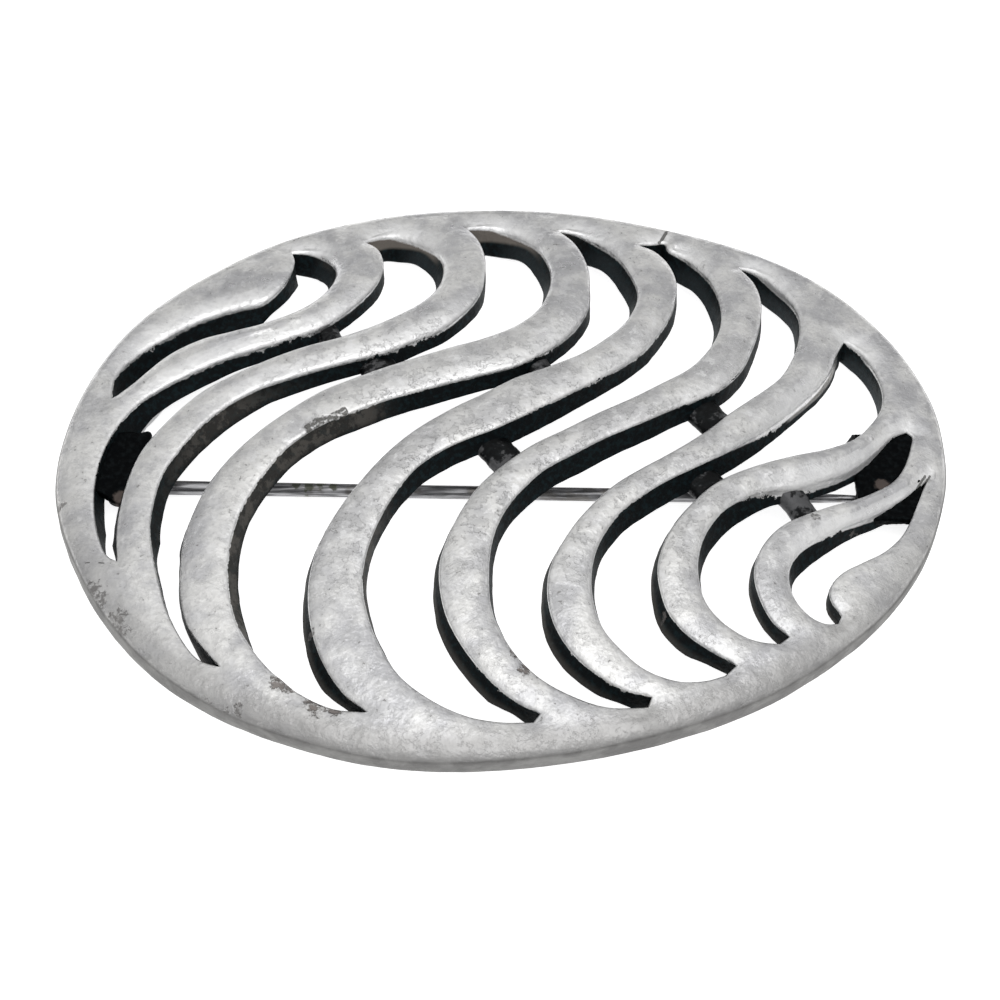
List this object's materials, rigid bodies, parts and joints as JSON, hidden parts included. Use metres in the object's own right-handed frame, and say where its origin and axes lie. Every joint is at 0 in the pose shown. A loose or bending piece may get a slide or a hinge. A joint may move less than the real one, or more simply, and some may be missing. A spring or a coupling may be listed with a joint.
{
  "type": "oval openwork brooch",
  "caption": "Domed oval brooch of flowing openwork wave bars in worn, darkened silver, with a hinged pin stem and a hook catch across the back.",
  "frame": {"origin": "middle of the oval on the plane of the rim's foot", "axes": "+X along the long way of the oval and the pin, from the hinge to the catch; +Y towards the upper edge; +Z out of the wave side"},
  "size_m": [0.0546, 0.044, 0.0051],
  "materials": {
    "oxidised_silver": "worn, finely scratched silver, darkened in the recesses",
    "pin_steel": "drawn wire, greyed, with a little verdigris"
  },
  "bodies": {
    "brooch": {"openwork_plate": "oxidised_silver", "hinge_rivet": "pin_steel"},
    "pin": {"pin_stem": "pin_steel"}
  },
  "joints": [
    {"name": "pin_swing", "type": "hinge", "parent": "brooch", "child": "pin", "pos_m": [-0.0235, -0.0009, 0.00065], "axis": [0.0209, 0.9998, 0], "range_deg": [0, 90]}
  ]
}
